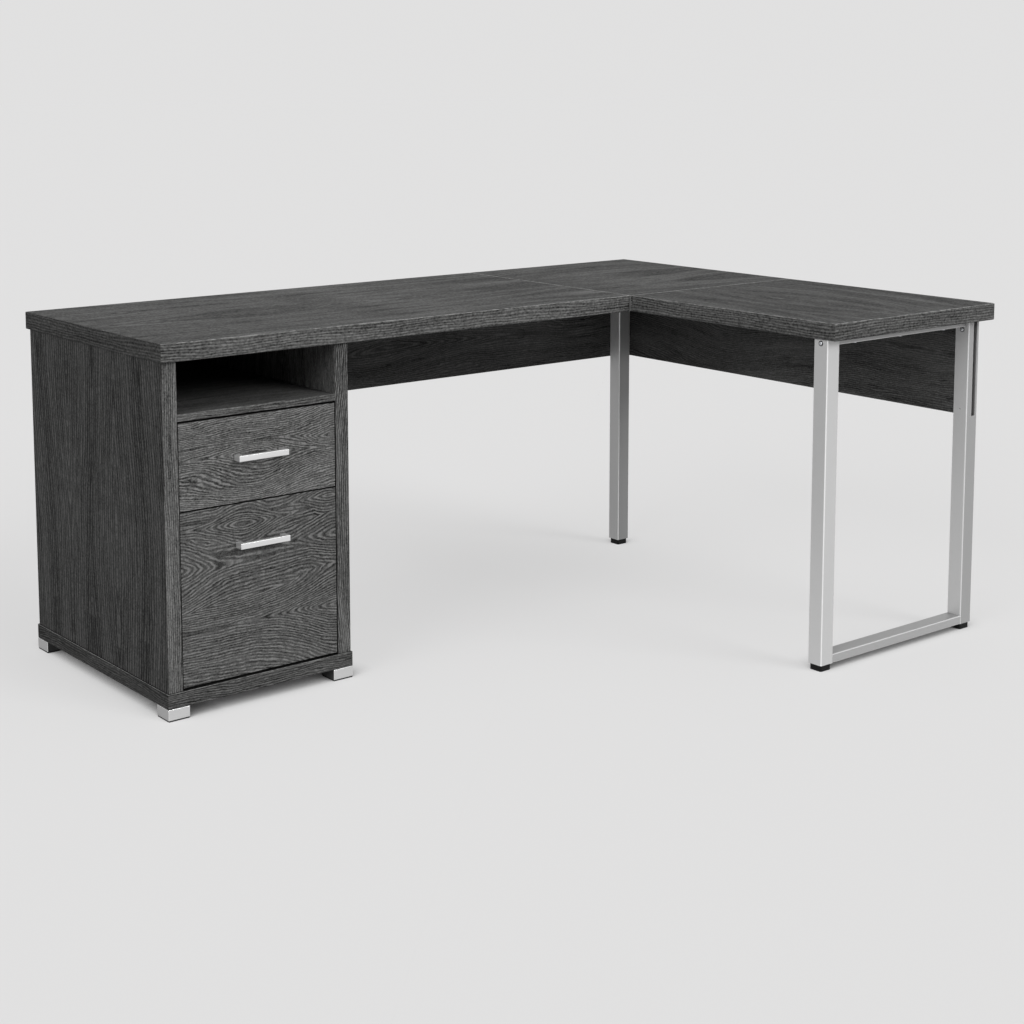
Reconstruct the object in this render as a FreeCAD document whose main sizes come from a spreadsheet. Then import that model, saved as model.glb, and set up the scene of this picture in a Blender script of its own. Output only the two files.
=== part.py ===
"""An L-shaped desk: board tops on a drawer cabinet, a corner leg and a tube loop.

Millimetres, +Z up, main run along X with the cabinet at the -X end, return towards -Y at the +X end.
The origin is on the floor under the middle of the desk's outline.
"""
import FreeCAD, Part
import os
import Sketcher
from types import SimpleNamespace
from FreeCAD import Placement, Rotation, Vector

SIZES = {
    # Tops
    "desk_height": 762,
    "top_thickness": 38,
    "main_depth": 620,
    "main_reach": 1235,
    "return_width": 545,
    "return_reach": 630,
    "seam_gap": 0.4,
    "corner_clip": 4,
    # Cabinet
    "cabinet_width": 434,
    "cabinet_side_inset": 6,
    "cabinet_front_inset": 10,
    "cabinet_back_inset": 10,
    "side_thickness": 32,
    "base_thickness": 32,
    "base_reveal": 3,
    "shelf_thickness": 15,
    "cubby_height": 106,
    "back_thickness": 5,
    "back_inset": 12,
    "groove_depth": 6,
    "fit_gap": 0.2,
    # Cabinet fittings
    "dowel_radius": 4,
    "dowel_length": 30,
    "dowel_margin": 60,
    "cam_radius": 7.5,
    "cam_depth": 12.5,
    "cam_drop": 34,
    "cam_margin": 110,
    "cam_bolt_radius": 3,
    "cam_bolt_setback": 9,
    "cam_bolt_bite": 12,
    # Feet
    "foot_size": 48,
    "foot_height": 22,
    "foot_cover_wall": 1.5,
    "pad_height": 3,
    "pad_margin": 1,
    "foot_screw_offset": 10,
    "foot_screw_length": 36,
    # Drawer fronts and boxes
    "front_thickness": 16,
    "front_inset": 1,
    "front_side_gap": 2,
    "front_top_gap": 4,
    "front_middle_gap": 3,
    "front_bottom_gap": 4.5,
    "box_front_height": 177,
    "drawer_depth": 470,
    "drawer_wall": 12,
    "box_side_height": 115,
    "file_side_height": 235,
    "drawer_side_lift": 22,
    "drawer_bottom_thickness": 5,
    "drawer_bottom_lift": 10,
    "drawer_dowel_radius": 3,
    "drawer_dowel_length": 22,
    "drawer_dowel_bite": 9,
    "drawer_dowel_margin": 28,
    "file_rail_setback": 3.2,
    "file_rail_thickness": 2,
    "file_rail_height": 15,
    "file_rail_seat": 6,
    # Handles
    "handle_length": 116,
    "handle_height": 12,
    "handle_reach": 22,
    "handle_bar": 8,
    "handle_leg": 12,
    "handle_round": 1,
    "handle_drop": 84,
    "handle_screw_radius": 2,
    "handle_screw_bite": 10,
    # Telescopic slides
    "slide_length": 450,
    "slide_width": 12.7,
    "slide_height": 45,
    "slide_lift": 14,
    "slide_setback": 3,
    "slide_wall": 1.2,
    "slide_race": 2,
    "slide_flange": 8.3,
    "bearing_length": 60,
    "bearing_width": 4,
    "bearing_gap": 0.3,
    "slide_screw_radius": 1.75,
    "slide_screw_length": 11,
    "slide_screw_head_radius": 3.5,
    "slide_screw_head_height": 1.5,
    "slide_screw_margin": 40,
    # Modesty panels
    "panel_thickness": 12,
    "panel_height": 222,
    "main_panel_setback": 37,
    "panel_slot_offset": 5,
    "panel_end_recess": 10,
    # Tube loop and corner leg
    "tube_size": 38,
    "tube_wall": 1.5,
    "tube_round": 2.5,
    "post_inner_inset": 6,
    "post_outer_inset": 21,
    "post_end_inset": 25,
    "bottom_rail_height": 20,
    "top_rail_height": 15,
    "top_rail_width": 20,
    "corner_leg_inset": 145,
    "leg_plate_size": 90,
    "leg_plate_thickness": 4,
    "leg_plate_hole_margin": 12,
    "glide_size": 32,
    "glide_height": 14,
    "glide_round": 4,
    "glide_plug_height": 18,
    "slot_gap": 0.3,
    "bolt_radius": 3,
    "bolt_head_radius": 6,
    "bolt_head_height": 2.5,
    "bolt_hole_gap": 0.2,
    "rail_bolt_drop": 9,
    "rail_insert_length": 20,
    "rail_bolt_bite": 12,
    "clamp_bolt_drop": 22,
    "drain_hole_radius": 1.5,
    "drain_hole_drop": 206,
    # Plates, brackets and screws under the tops
    "seam_plate_length": 100,
    "seam_plate_width": 30,
    "seam_plate_thickness": 2.5,
    "seam_plate_margin": 140,
    "seam_plate_hole_margin": 12,
    "bracket_leg": 25,
    "bracket_wall": 2,
    "bracket_width": 22,
    "bracket_hole_offset": 15,
    "bracket_margin": 120,
    "bracket_drop": 60,
    "bracket_pitch": 100,
    "screw_radius": 2,
    "screw_length": 10,
    "screw_head_radius": 4,
    "screw_head_height": 2.2,
    "screw_hole_gap": 0.3,
    "rail_screw_bite": 14,
    "rail_screw_margin": 70,
}


class Size:
    """A length that knows both its value and the sheet formula that gives it."""

    def __init__(self, value, formula):
        self.value = value
        self.formula = formula

    def __add__(self, other):
        other = as_size(other)
        return Size(self.value + other.value, f"({self.formula} + {other.formula})")

    def __sub__(self, other):
        other = as_size(other)
        return Size(self.value - other.value, f"({self.formula} - {other.formula})")

    def __mul__(self, factor):
        return Size(self.value * factor, f"({self.formula} * {factor})")

    def __truediv__(self, factor):
        return Size(self.value / factor, f"({self.formula} / {factor})")

    def __neg__(self):
        return Size(-self.value, f"(0 - {self.formula})")


def as_size(number):
    if isinstance(number, Size):
        return number
    return Size(number, str(number))


doc = FreeCAD.newDocument("l_shaped_desk")
sheet = doc.addObject("Spreadsheet::Sheet", "Sizes")
for row, (size_name, size_value) in enumerate(SIZES.items(), start=1):
    sheet.set(f"A{row}", size_name)
    sheet.set(f"B{row}", str(size_value))
    sheet.setAlias(f"B{row}", size_name)
doc.recompute()
s = SimpleNamespace(**{name: Size(float(value), f"Sizes.{name}") for name, value in SIZES.items()})

sub_parts = []


def finished(label, shape_object):
    """Names a sub-part and lists it for writing out."""
    shape_object.Label = label
    sub_parts.append(shape_object)
    return shape_object


def place(shape_object, x, y, z, rotation=Rotation()):
    """Puts an object at a point whose coordinates stay bound to the sheet."""
    corner = [as_size(x), as_size(y), as_size(z)]
    shape_object.Placement = Placement(Vector(*[c.value for c in corner]), rotation)
    for axis, coordinate in zip("xyz", corner):
        shape_object.setExpression(f"Placement.Base.{axis}", coordinate.formula)


def block(x, y, z, length, width, height):
    """A box from its lowest corner."""
    solid = doc.addObject("Part::Box", "Block")
    for side, size in (("Length", length), ("Width", width), ("Height", height)):
        solid.setExpression(side, as_size(size).formula)
    place(solid, x, y, z)
    return solid


def rod(axis, x, y, z, radius, length):
    """A cylinder that runs from a point towards the positive end of an axis."""
    turns = {"X": Rotation(Vector(0, 1, 0), 90), "Y": Rotation(Vector(1, 0, 0), -90), "Z": Rotation()}
    solid = doc.addObject("Part::Cylinder", "Rod")
    solid.setExpression("Radius", as_size(radius).formula)
    solid.setExpression("Height", as_size(length).formula)
    place(solid, x, y, z, turns[axis])
    return solid


def cut(base, *tools):
    """The base with every tool taken out of it."""
    result = doc.addObject("Part::Cut", "Cut")
    result.Base = base
    result.Tool = tools[0] if len(tools) == 1 else group(*tools)
    return result


def fuse(first, second):
    result = doc.addObject("Part::Fuse", "Fuse")
    result.Base = first
    result.Tool = second
    return result


def group(*members):
    """Separate solids that share one node."""
    result = doc.addObject("Part::Compound", "Group")
    result.Links = list(members)
    return result


def outline(body, points, height=0):
    """A closed sketch of straight edges on the body's XY plane, each corner bound to the sheet."""
    plane = [feature for feature in body.Origin.OriginFeatures if feature.Role == "XY_Plane"][0]
    sketch = body.newObject("Sketcher::SketchObject", "Outline")
    sketch.AttachmentSupport = [(plane, "")]
    sketch.MapMode = "FlatFace"
    sketch.setExpression("AttachmentOffset.Base.z", as_size(height).formula)
    corners = [(as_size(x), as_size(y)) for x, y in points]
    count = len(corners)
    for index, (start_x, start_y) in enumerate(corners):
        end_x, end_y = corners[(index + 1) % count]
        start = Vector(start_x.value, start_y.value, 0)
        sketch.addGeometry(Part.LineSegment(start, Vector(end_x.value, end_y.value, 0)))
    for index in range(count):
        sketch.addConstraint(Sketcher.Constraint("Coincident", index, 2, (index + 1) % count, 1))
    for index, corner in enumerate(corners):
        for direction, axis_line, size in (("DistanceX", -2, corner[0]), ("DistanceY", -1, corner[1])):
            if size.value == 0:
                sketch.addConstraint(Sketcher.Constraint("PointOnObject", index, 1, axis_line))
                continue
            number = sketch.addConstraint(Sketcher.Constraint(direction, -1, 1, index, 1, size.value))
            sketch.setExpression(f"Constraints[{number}]", size.formula)
    return sketch


def pad(body, sketch, length):
    feature = body.newObject("PartDesign::Pad", "Pad")
    feature.Profile = sketch
    feature.setExpression("Length", as_size(length).formula)
    sketch.Visibility = False
    return feature


def bore(body, sketch):
    """Cuts an outline on the XY plane right through the pad above it."""
    feature = body.newObject("PartDesign::Pocket", "Bore")
    feature.Profile = sketch
    feature.Type = "ThroughAll"
    feature.Reversed = True
    return feature


def round_edges(body, feature, radius, wanted):
    """Rounds those edges of a feature that the test picks out."""
    doc.recompute()
    names = [f"Edge{n}" for n, edge in enumerate(feature.Shape.Edges, start=1) if wanted(edge)]
    rounding = body.newObject("PartDesign::Fillet", "Rounding")
    rounding.Base = (feature, names)
    rounding.setExpression("Radius", radius.formula)
    return rounding


def is_upright(edge):
    ends = [vertex.Point for vertex in edge.Vertexes]
    return abs(ends[0].z - ends[1].z) > 1e-6


def rectangle(x, y, length, width):
    x, y = as_size(x), as_size(y)
    return [(x, y), (x + length, y), (x + length, y + width), (x, y + width)]


def tube(width, depth, length):
    """A tube along its own Z with rounded long edges."""
    body = doc.addObject("PartDesign::Body", "Tube")
    solid = pad(body, outline(body, rectangle(0, 0, width, depth)), length)
    round_edges(body, solid, s.tube_round, is_upright)
    inside = rectangle(s.tube_wall, s.tube_wall, width - s.tube_wall * 2, depth - s.tube_wall * 2)
    bore(body, outline(body, inside))
    return body


def screw(axis, sense, x, y, z, radius, length, head_radius, head_height):
    """A pan-head screw seated at a point, its shank running along the axis in the given sense."""
    along = {"X": 0, "Y": 1, "Z": 2}[axis]
    shank_start = [as_size(x), as_size(y), as_size(z)]
    head_start = list(shank_start)
    if sense > 0:
        head_start[along] = head_start[along] - head_height
    else:
        shank_start[along] = shank_start[along] - length
    shank = rod(axis, *shank_start, radius, length)
    return fuse(rod(axis, *head_start, head_radius, head_height), shank)


def board_screw(axis, sense, x, y, z):
    """One of the short screws that fix plates and brackets to boards."""
    return screw(axis, sense, x, y, z, s.screw_radius, s.screw_length,
                 s.screw_head_radius, s.screw_head_height)


# Places that many pieces share
length_half = (s.main_reach + s.return_width) / 2
depth_half = (s.main_depth + s.return_reach) / 2
x_left = -length_half
x_right = length_half
x_inner = x_left + s.main_reach
y_back = depth_half
y_front = y_back - s.main_depth
y_end = -depth_half
z_under = s.desk_height - s.top_thickness

cabinet_left = x_left + s.cabinet_side_inset
cabinet_right = cabinet_left + s.cabinet_width
cabinet_front = y_front + s.cabinet_front_inset
cabinet_back = y_back - s.cabinet_back_inset
cabinet_depth = cabinet_back - cabinet_front
bay_left = cabinet_left + s.side_thickness
bay_right = cabinet_right - s.side_thickness
bay_width = s.cabinet_width - s.side_thickness * 2
base_under = s.pad_height + s.foot_height
base_top = base_under + s.base_thickness
side_height = z_under - base_top
shelf_top = z_under - s.cubby_height
shelf_under = shelf_top - s.shelf_thickness
back_front_face = cabinet_back - s.back_inset - s.back_thickness

panel_bottom = z_under - s.panel_height
main_panel_front = y_back - s.main_panel_setback - s.panel_thickness
post_front = y_end + s.post_end_inset
inner_post_left = x_inner + s.post_inner_inset
outer_post_left = x_right - s.post_outer_inset - s.tube_size
return_panel_inner = outer_post_left + s.tube_size / 2 + s.panel_slot_offset - s.panel_thickness / 2
rail_left = inner_post_left + s.tube_size
rail_length = outer_post_left - rail_left

# Tops: the corner top's inner corner is clipped, so the main and return tops stop short of it
seam_x = x_inner - s.corner_clip
seam_y = y_front - s.corner_clip
main_top_length = s.main_reach - s.corner_clip - s.seam_gap
finished("main_top", block(x_left, y_front, z_under, main_top_length, s.main_depth, s.top_thickness))
finished("return_top", block(x_inner, y_end, z_under,
                             s.return_width, s.return_reach - s.corner_clip - s.seam_gap, s.top_thickness))
corner_top = doc.addObject("PartDesign::Body", "CornerTop")
corner_width = s.return_width + s.corner_clip
corner_depth = s.main_depth + s.corner_clip
corner_outline = [(s.corner_clip, 0), (corner_width, 0), (corner_width, corner_depth),
                  (0, corner_depth), (0, s.corner_clip)]
pad(corner_top, outline(corner_top, corner_outline), s.top_thickness)
place(corner_top, seam_x, seam_y, z_under)
finished("corner_top", corner_top)

# Cabinet sides, each with a groove for the back panel and pockets for its cam locks
cam_ys = [cabinet_front + s.cam_margin, cabinet_back - s.cam_margin]
cam_zs = [z_under - s.cam_drop, base_top + s.cam_drop]
cam_locks = []
cam_bolts = []
for side_name, side_left, inner_face, inward in (("left", cabinet_left, bay_left, 1),
                                                 ("right", bay_right, bay_right, -1)):
    side = block(side_left, cabinet_front, base_top, s.side_thickness, cabinet_depth, side_height)
    groove_left = inner_face - s.groove_depth if inward > 0 else inner_face
    groove_width = s.back_thickness + s.fit_gap * 2
    cutters = [block(groove_left, back_front_face - s.fit_gap, base_top,
                     s.groove_depth, groove_width, side_height)]
    for cam_y in cam_ys:
        for cam_z in cam_zs:
            pocket_left = inner_face - s.cam_depth if inward > 0 else inner_face
            cutters.append(rod("X", pocket_left, cam_y, cam_z, s.cam_radius + s.fit_gap, s.cam_depth))
            cam_locks.append(rod("X", pocket_left, cam_y, cam_z, s.cam_radius, s.cam_depth))
            bolt_x = inner_face - s.cam_bolt_setback * inward
            bolt_z = cam_z if cam_z is cam_zs[0] else base_top - s.cam_bolt_bite
            cam_bolts.append(rod("Z", bolt_x, cam_y, bolt_z, s.cam_bolt_radius, s.cam_drop + s.cam_bolt_bite))
    finished(f"cabinet_{side_name}_side", cut(side, *cutters))
finished("cam_locks", group(*cam_locks))
finished("cam_bolts", group(*cam_bolts))

# Base board, fixed shelf and back panel
finished("cabinet_base", block(cabinet_left - s.base_reveal, cabinet_front - s.base_reveal, base_under,
                               s.cabinet_width + s.base_reveal * 2, cabinet_depth + s.base_reveal * 2,
                               s.base_thickness))
finished("cabinet_shelf", block(bay_left, cabinet_front, shelf_under,
                                bay_width, back_front_face - cabinet_front - s.fit_gap, s.shelf_thickness))
tongue = s.groove_depth - s.fit_gap
finished("cabinet_back_panel", block(bay_left - tongue, back_front_face, base_top,
                                     bay_width + tongue * 2, s.back_thickness, side_height))

# Dowels of the cabinet: upright ones into top and base, level ones into the shelf
cabinet_dowels = []
for side_left, inner_face in ((cabinet_left, bay_left), (bay_right, bay_right)):
    for dowel_y in (cabinet_front + s.dowel_margin, cabinet_back - s.dowel_margin):
        for joint_z in (base_top, z_under):
            cabinet_dowels.append(rod("Z", side_left + s.side_thickness / 2, dowel_y,
                                      joint_z - s.dowel_length / 2, s.dowel_radius, s.dowel_length))
        cabinet_dowels.append(rod("X", inner_face - s.dowel_length / 2, dowel_y,
                                  shelf_under + s.shelf_thickness / 2, s.dowel_radius, s.dowel_length))
finished("cabinet_dowels", group(*cabinet_dowels))

# Feet: a plastic block in an L-shaped metal cover that faces outwards, on a pad, with two screws
blocks = []
covers = []
pads = []
foot_screws = []
block_size = s.foot_size - s.foot_cover_wall
foot_left = cabinet_left - s.base_reveal
foot_right = cabinet_right + s.base_reveal - s.foot_size
foot_front = cabinet_front - s.base_reveal
foot_back = cabinet_back + s.base_reveal - s.foot_size
for foot_x, block_shift_x in ((foot_left, s.foot_cover_wall), (foot_right, 0)):
    for foot_y, block_shift_y in ((foot_front, s.foot_cover_wall), (foot_back, 0)):
        block_x = foot_x + block_shift_x
        block_y = foot_y + block_shift_y
        shell = block(foot_x, foot_y, s.pad_height, s.foot_size, s.foot_size, s.foot_height)
        inside = block(block_x, block_y, s.pad_height, block_size, block_size, s.foot_height)
        covers.append(cut(shell, inside))
        blocks.append(block(block_x, block_y, s.pad_height, block_size, block_size, s.foot_height))
        pad_size = s.foot_size - s.pad_margin * 2
        pads.append(block(foot_x + s.pad_margin, foot_y + s.pad_margin, 0, pad_size, pad_size, s.pad_height))
        for offset in (-s.foot_screw_offset, s.foot_screw_offset):
            foot_screws.append(rod("Z", block_x + block_size / 2 + offset, block_y + block_size / 2,
                                   s.pad_height, s.screw_radius, s.foot_screw_length))
finished("foot_blocks", group(*blocks))
finished("foot_covers", group(*covers))
finished("foot_pads", group(*pads))
finished("foot_screws", group(*foot_screws))

# Modesty panels: the main one butts against the return one, whose end slides into the outer post
main_panel_length = return_panel_inner - cabinet_right
finished("main_modesty_panel", block(cabinet_right, main_panel_front, panel_bottom,
                                     main_panel_length, s.panel_thickness, s.panel_height))
return_panel_end = post_front + s.panel_end_recess
return_panel_length = main_panel_front + s.panel_thickness - return_panel_end
finished("return_modesty_panel", block(return_panel_inner, return_panel_end, panel_bottom,
                                       s.panel_thickness, return_panel_length, s.panel_height))

# Tube loop under the return: two posts, a bottom rail between them and a thin top rail
post_height = z_under - s.glide_height
post_axis_y = post_front + s.tube_size / 2
inner_post = tube(s.tube_size, s.tube_size, post_height)
place(inner_post, inner_post_left, post_front, s.glide_height)
rail_bolt_z = z_under - s.rail_bolt_drop
bolt_hole_radius = s.bolt_radius + s.bolt_hole_gap
finished("inner_post", cut(inner_post, rod("X", inner_post_left, post_axis_y, rail_bolt_z,
                                           bolt_hole_radius, s.tube_size)))

outer_post = tube(s.tube_size, s.tube_size, post_height)
place(outer_post, outer_post_left, post_front, s.glide_height)
slot_width = s.panel_thickness + s.slot_gap * 2
slot_left = return_panel_inner - s.slot_gap
slot_run = block(slot_left, post_front, panel_bottom, slot_width, s.tube_size, s.panel_height)
clamp_bolt_z = z_under - s.clamp_bolt_drop
clamp_hole = rod("X", outer_post_left, post_axis_y, clamp_bolt_z, bolt_hole_radius, s.tube_wall)
drain_hole = rod("X", outer_post_left, post_axis_y, z_under - s.drain_hole_drop,
                 s.drain_hole_radius, s.tube_wall)
finished("outer_post", cut(outer_post, slot_run, clamp_hole, drain_hole))

level = Rotation(Vector(0, 1, 0), 90)
bottom_rail = tube(s.bottom_rail_height, s.tube_size, rail_length)
place(bottom_rail, rail_left, post_front, s.glide_height + s.bottom_rail_height, level)
finished("loop_bottom_rail", bottom_rail)

top_rail = tube(s.top_rail_height, s.top_rail_width, rail_length)
top_rail_front = post_axis_y - s.top_rail_width / 2
place(top_rail, rail_left, top_rail_front, z_under, level)
rail_under = z_under - s.top_rail_height
rail_screw_xs = [rail_left + s.rail_screw_margin, rail_left + rail_length / 2,
                 rail_left + rail_length - s.rail_screw_margin]
rail_holes = [rod("Z", screw_x, post_axis_y, rail_under, s.screw_radius + s.screw_hole_gap, s.top_rail_height)
              for screw_x in rail_screw_xs]
finished("loop_top_rail", cut(top_rail, *rail_holes))
finished("top_rail_screws", group(*[
    screw("Z", 1, screw_x, post_axis_y, rail_under, s.screw_radius, s.top_rail_height + s.rail_screw_bite,
          s.screw_head_radius, s.screw_head_height) for screw_x in rail_screw_xs]))

# The insert in the top rail's end takes the bolt that passes through the inner post
insert_wall = s.tube_wall + s.fit_gap
finished("top_rail_insert", block(rail_left, top_rail_front + insert_wall, rail_under + insert_wall,
                                  s.rail_insert_length, s.top_rail_width - insert_wall * 2,
                                  s.top_rail_height - insert_wall * 2))
finished("rail_bolt", screw("X", 1, inner_post_left, post_axis_y, rail_bolt_z, s.bolt_radius,
                            s.tube_size + s.rail_bolt_bite, s.bolt_head_radius, s.bolt_head_height))
clamp_bolt_length = return_panel_inner - outer_post_left
finished("panel_clamp_bolt", screw("X", 1, outer_post_left, post_axis_y, clamp_bolt_z, s.bolt_radius,
                                   clamp_bolt_length, s.bolt_head_radius, s.bolt_head_height))

# Corner leg with its welded mounting plate
leg_x = x_right - s.corner_leg_inset
leg_y = y_back - s.corner_leg_inset
plate_under = z_under - s.leg_plate_thickness
corner_leg = tube(s.tube_size, s.tube_size, plate_under - s.glide_height)
place(corner_leg, leg_x - s.tube_size / 2, leg_y - s.tube_size / 2, s.glide_height)
finished("corner_leg", corner_leg)
plate = block(leg_x - s.leg_plate_size / 2, leg_y - s.leg_plate_size / 2, plate_under,
              s.leg_plate_size, s.leg_plate_size, s.leg_plate_thickness)
screw_hole_radius = s.screw_radius + s.screw_hole_gap
plate_reach = s.leg_plate_size / 2 - s.leg_plate_hole_margin
plate_holes = []
underside_screws = []
for screw_x in (leg_x - plate_reach, leg_x + plate_reach):
    for screw_y in (leg_y - plate_reach, leg_y + plate_reach):
        plate_holes.append(rod("Z", screw_x, screw_y, plate_under, screw_hole_radius, s.leg_plate_thickness))
        underside_screws.append(board_screw("Z", 1, screw_x, screw_y, plate_under))
finished("corner_leg_plate", cut(plate, *plate_holes))

# Push-in glides: a square plug in the tube's end with a rounded pad below it
glides = []
plug_size = s.tube_size - (s.tube_wall + s.fit_gap) * 2
plug_shift = (s.glide_size - plug_size) / 2
for tube_x, tube_y in ((inner_post_left, post_front), (outer_post_left, post_front),
                       (leg_x - s.tube_size / 2, leg_y - s.tube_size / 2)):
    glide = doc.addObject("PartDesign::Body", "Glide")
    foot = pad(glide, outline(glide, rectangle(0, 0, s.glide_size, s.glide_size)), s.glide_height)
    round_edges(glide, foot, s.glide_round, is_upright)
    plug_outline = rectangle(plug_shift, plug_shift, plug_size, plug_size)
    pad(glide, outline(glide, plug_outline, s.glide_height), s.glide_plug_height)
    glide_shift = (s.tube_size - s.glide_size) / 2
    place(glide, tube_x + glide_shift, tube_y + glide_shift, 0)
    glides.append(glide)
finished("leg_glides", group(*glides))

# Joining plates across the two seams, two to a seam
seam_plates = []
plate_z = z_under - s.seam_plate_thickness
along_half = s.seam_plate_length / 2
across_half = s.seam_plate_width / 2
along_hole = along_half - s.seam_plate_hole_margin
for centre_x, centre_y, along_x in ((seam_x, y_front + s.seam_plate_margin, True),
                                    (seam_x, y_back - s.seam_plate_margin, True),
                                    (x_inner + s.seam_plate_margin, seam_y, False),
                                    (x_right - s.seam_plate_margin, seam_y, False)):
    half_x, half_y = (along_half, across_half) if along_x else (across_half, along_half)
    strip = block(centre_x - half_x, centre_y - half_y, plate_z,
                  half_x * 2, half_y * 2, s.seam_plate_thickness)
    holes = []
    for offset in (-along_hole, -along_hole / 2, along_hole / 2, along_hole):
        hole_x = centre_x + offset if along_x else centre_x
        hole_y = centre_y if along_x else centre_y + offset
        holes.append(rod("Z", hole_x, hole_y, plate_z, screw_hole_radius, s.seam_plate_thickness))
        underside_screws.append(board_screw("Z", 1, hole_x, hole_y, plate_z))
    seam_plates.append(cut(strip, *holes))
finished("seam_joining_plates", group(*seam_plates))

# Angle brackets of the modesty panels
brackets = []


def angle_bracket(corner, leg_a, leg_b):
    """A drilled angle in the corner of two boards, with a screw into each.

    leg_a and leg_b are (axis, sense) of its two legs from the corner, and its width is along the third axis.
    """
    third = ({"X", "Y", "Z"} - {leg_a[0], leg_b[0]}).pop()
    legs = []
    holes = []
    for (along, along_sense), (across, across_sense) in ((leg_a, leg_b), (leg_b, leg_a)):
        sizes = {along: s.bracket_leg, across: s.bracket_wall, third: s.bracket_width}
        start = dict(corner)
        start[third] = corner[third] - s.bracket_width / 2
        if along_sense < 0:
            start[along] = corner[along] - s.bracket_leg
        if across_sense < 0:
            start[across] = corner[across] - s.bracket_wall
        legs.append(block(start["X"], start["Y"], start["Z"], sizes["X"], sizes["Y"], sizes["Z"]))
        centre = dict(corner)
        centre[along] = corner[along] + s.bracket_hole_offset * along_sense
        hole_start = dict(centre)
        hole_start[across] = start[across]
        holes.append(rod(across, hole_start["X"], hole_start["Y"], hole_start["Z"],
                         screw_hole_radius, s.bracket_wall))
        seat = dict(centre)
        seat[across] = corner[across] + s.bracket_wall * across_sense
        underside_screws.append(board_screw(across, -across_sense, seat["X"], seat["Y"], seat["Z"]))
    brackets.append(cut(fuse(*legs), *holes))


for bracket_x in (cabinet_right + s.bracket_margin, x_inner - s.bracket_margin, x_inner + s.bracket_margin):
    angle_bracket({"X": bracket_x, "Y": main_panel_front, "Z": z_under}, ("Y", -1), ("Z", -1))
for bracket_y in (y_front + s.bracket_margin, y_front - s.bracket_margin, y_end + s.bracket_margin):
    angle_bracket({"X": return_panel_inner, "Y": bracket_y, "Z": z_under}, ("X", -1), ("Z", -1))
for bracket_z in (z_under - s.bracket_drop, z_under - s.bracket_drop - s.bracket_pitch):
    angle_bracket({"X": cabinet_right, "Y": main_panel_front, "Z": bracket_z}, ("X", 1), ("Y", -1))
    angle_bracket({"X": return_panel_inner, "Y": main_panel_front, "Z": bracket_z}, ("X", -1), ("Y", -1))
finished("modesty_brackets", group(*brackets))
finished("underside_screws", group(*underside_screws))

# Drawers
front_left = bay_left + s.front_side_gap
front_width = bay_width - s.front_side_gap * 2
front_face = cabinet_front + s.front_inset
box_left = bay_left + s.slide_width
box_width = bay_width - s.slide_width * 2
box_right = box_left + box_width
box_front = front_face + s.front_thickness
box_back = box_front + s.drawer_depth
inside_width = box_width - s.drawer_wall * 2
middle_x = bay_left + bay_width / 2
cabinet_slide_screws = []


def slide_screw(axis, sense, x, y, z):
    return screw(axis, sense, x, y, z, s.slide_screw_radius, s.slide_screw_length,
                 s.slide_screw_head_radius, s.slide_screw_head_height)


def channel(x, y, z, length, height, depth, open_towards):
    """A slide member: a C-section along Y whose open side looks along X in the given sense."""
    solid = block(x, y, z, depth, length, height)
    inside_x = x + s.slide_wall if open_towards > 0 else x
    inside = block(inside_x, y, z + s.slide_wall, depth - s.slide_wall, length, height - s.slide_wall * 2)
    return cut(solid, inside)


def slides(drawer, slide_bottom):
    """Both telescopic slides of a drawer, closed, with their bearing blocks and screws."""
    cabinet_members = []
    middle_members = []
    drawer_members = []
    bearings = []
    drawer_screws = []
    slide_front = box_front + s.slide_setback
    slide_back = slide_front + s.slide_length
    nest = s.slide_wall + s.slide_race
    middle_height = s.slide_height - nest * 2
    inner_height = middle_height - nest * 2
    bearing_height = s.slide_race - s.bearing_gap
    for wall_x, inward in ((bay_left, 1), (bay_right, -1)):
        def across(near, size):
            """The low X of a piece that starts this far from the cabinet wall."""
            return wall_x + near if inward > 0 else wall_x - near - size

        cabinet_members.append(channel(across(as_size(0), s.slide_flange), slide_front, slide_bottom,
                                       s.slide_length, s.slide_height, s.slide_flange, inward))
        middle_members.append(channel(across(nest, s.slide_flange), slide_front, slide_bottom + nest,
                                      s.slide_length, middle_height, s.slide_flange, inward))
        inner_depth = s.slide_width - nest * 2
        drawer_members.append(channel(across(nest * 2, inner_depth), slide_front, slide_bottom + nest * 2,
                                      s.slide_length, inner_height, inner_depth, -inward))
        outer_x = across(s.slide_flange - s.bearing_width, s.bearing_width)
        inner_x = across(nest + s.slide_flange - s.bearing_width, s.bearing_width)
        rear_y = slide_back - s.bearing_length
        inner_low = nest + s.slide_wall
        inner_high = s.slide_height - inner_low - bearing_height
        for bearing_x, bearing_y, low, high in (
                (outer_x, rear_y, nest - bearing_height, s.slide_height - nest),
                (inner_x, slide_front, inner_low, inner_high)):
            for lift in (low, high):
                bearings.append(block(bearing_x, bearing_y, slide_bottom + lift,
                                      s.bearing_width, s.bearing_length, bearing_height))
        screw_z = slide_bottom + s.slide_height / 2
        drawer_face = wall_x + (s.slide_width - s.slide_wall) * inward
        for screw_y in (slide_front + s.slide_screw_margin, slide_back - s.slide_screw_margin):
            cabinet_face = wall_x + s.slide_wall * inward
            cabinet_slide_screws.append(slide_screw("X", -inward, cabinet_face, screw_y, screw_z))
            drawer_screws.append(slide_screw("X", inward, drawer_face, screw_y, screw_z))
    finished(f"{drawer}_slide_cabinet_members",
             drilled(cabinet_members, slide_front, slide_back, slide_bottom))
    finished(f"{drawer}_slide_middle_members", group(*middle_members))
    finished(f"{drawer}_slide_drawer_members",
             drilled(drawer_members, slide_front, slide_back, slide_bottom))
    finished(f"{drawer}_slide_bearings", group(*bearings))
    finished(f"{drawer}_slide_screws", group(*drawer_screws))


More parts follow.
